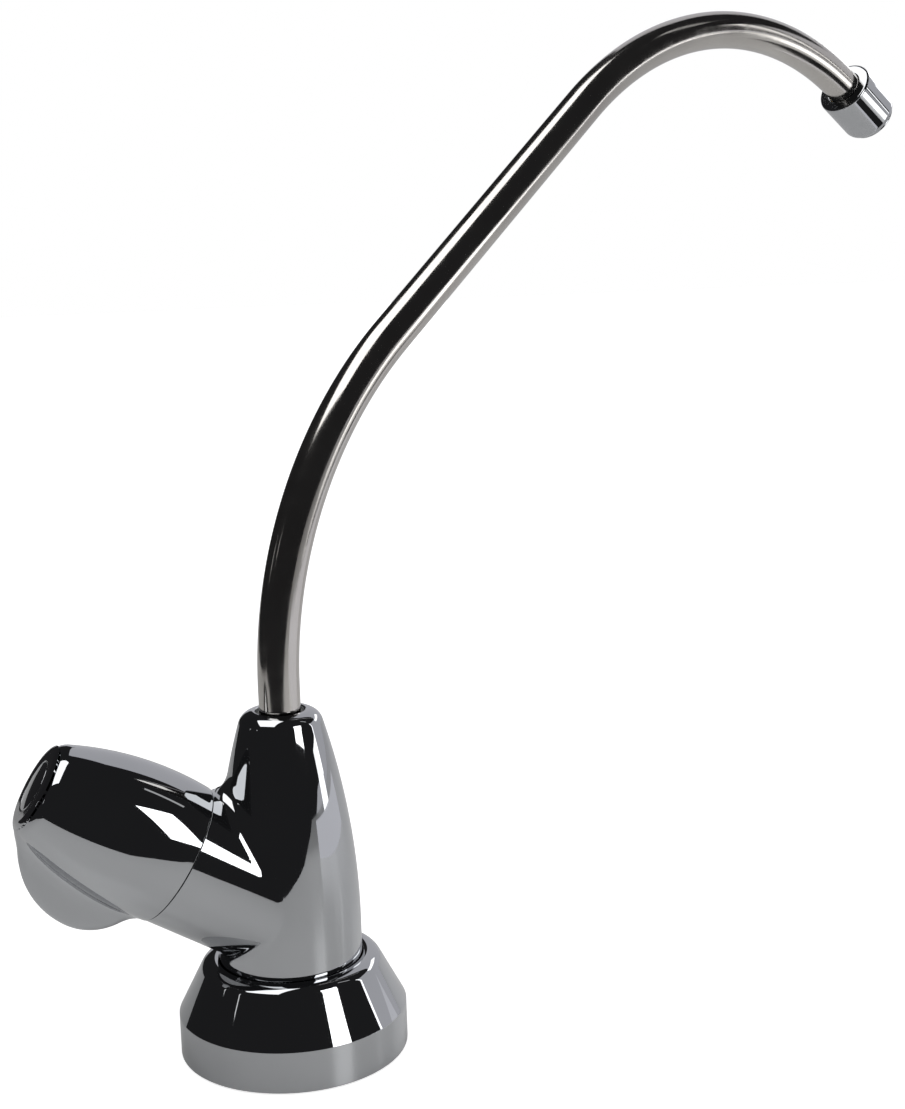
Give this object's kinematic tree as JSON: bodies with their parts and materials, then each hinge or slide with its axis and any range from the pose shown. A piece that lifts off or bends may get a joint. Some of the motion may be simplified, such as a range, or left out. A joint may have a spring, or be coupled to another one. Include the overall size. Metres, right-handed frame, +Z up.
{
  "type": "drinking water filter tap",
  "caption": "Deck-mounted filter tap with a round base, an ogive body, an inclined quarter-turn valve with a winged knob, and a swivelling gooseneck spout.",
  "frame": {"origin": "on the worktop surface, at the middle of the hole that the shank goes through", "axes": "+Z up along the body and the spout's swivel axis, the valve branch leans towards -X, and the spout at rest points towards +X, turned 21.9 degrees towards +Y"},
  "size_m": [0.2627, 0.113, 0.2999],
  "materials": {
    "chrome": "polished chrome plate",
    "stainless_tube": "polished stainless tube with faint drawing lines",
    "brass": "turned brass",
    "rubber": "matt moulded rubber",
    "white_plastic": "moulded acetal",
    "ceramic": "lapped alumina ceramic",
    "fibre": "vulcanised fibre",
    "steel": "bright stainless steel"
  },
  "bodies": {
    "tap_body": {"valve_body": "chrome", "base_escutcheon": "chrome", "base_gasket": "rubber", "spout_bush": "white_plastic", "cartridge_body": "brass", "cartridge_gasket": "fibre", "fixed_disc": "ceramic", "seat_seal": "rubber", "thrust_washer": "white_plastic", "threaded_shank": "brass", "shank_seal": "rubber", "deck_washer": "rubber", "backing_washer": "white_plastic", "lock_washer": "steel", "shank_nut": "brass"},
    "spout": {"spout_tube": "stainless_tube", "spout_sleeve": "brass", "spout_o_rings": "rubber", "spout_retaining_ring": "steel", "outlet_ferrule": "brass", "aerator_housing": "chrome", "aerator_washer": "rubber", "aerator_screen": "steel", "aerator_insert": "white_plastic"},
    "handle": {"handle_knob": "chrome", "handle_cap": "chrome", "handle_screw": "steel", "valve_stem": "brass", "stem_o_rings": "rubber", "stem_clip": "steel", "drive_disc": "ceramic"}
  },
  "joints": [
    {"name": "spout_swivel", "type": "hinge", "parent": "tap_body", "child": "spout", "pos_m": [0, 0, 0.07], "axis": [0, 0, 1], "continuous": true},
    {"name": "handle_turn", "type": "hinge", "parent": "tap_body", "child": "handle", "pos_m": [0, 0, 0.0336], "axis": [-0.8387, 0, 0.5446], "range_deg": [0, 90]}
  ]
}
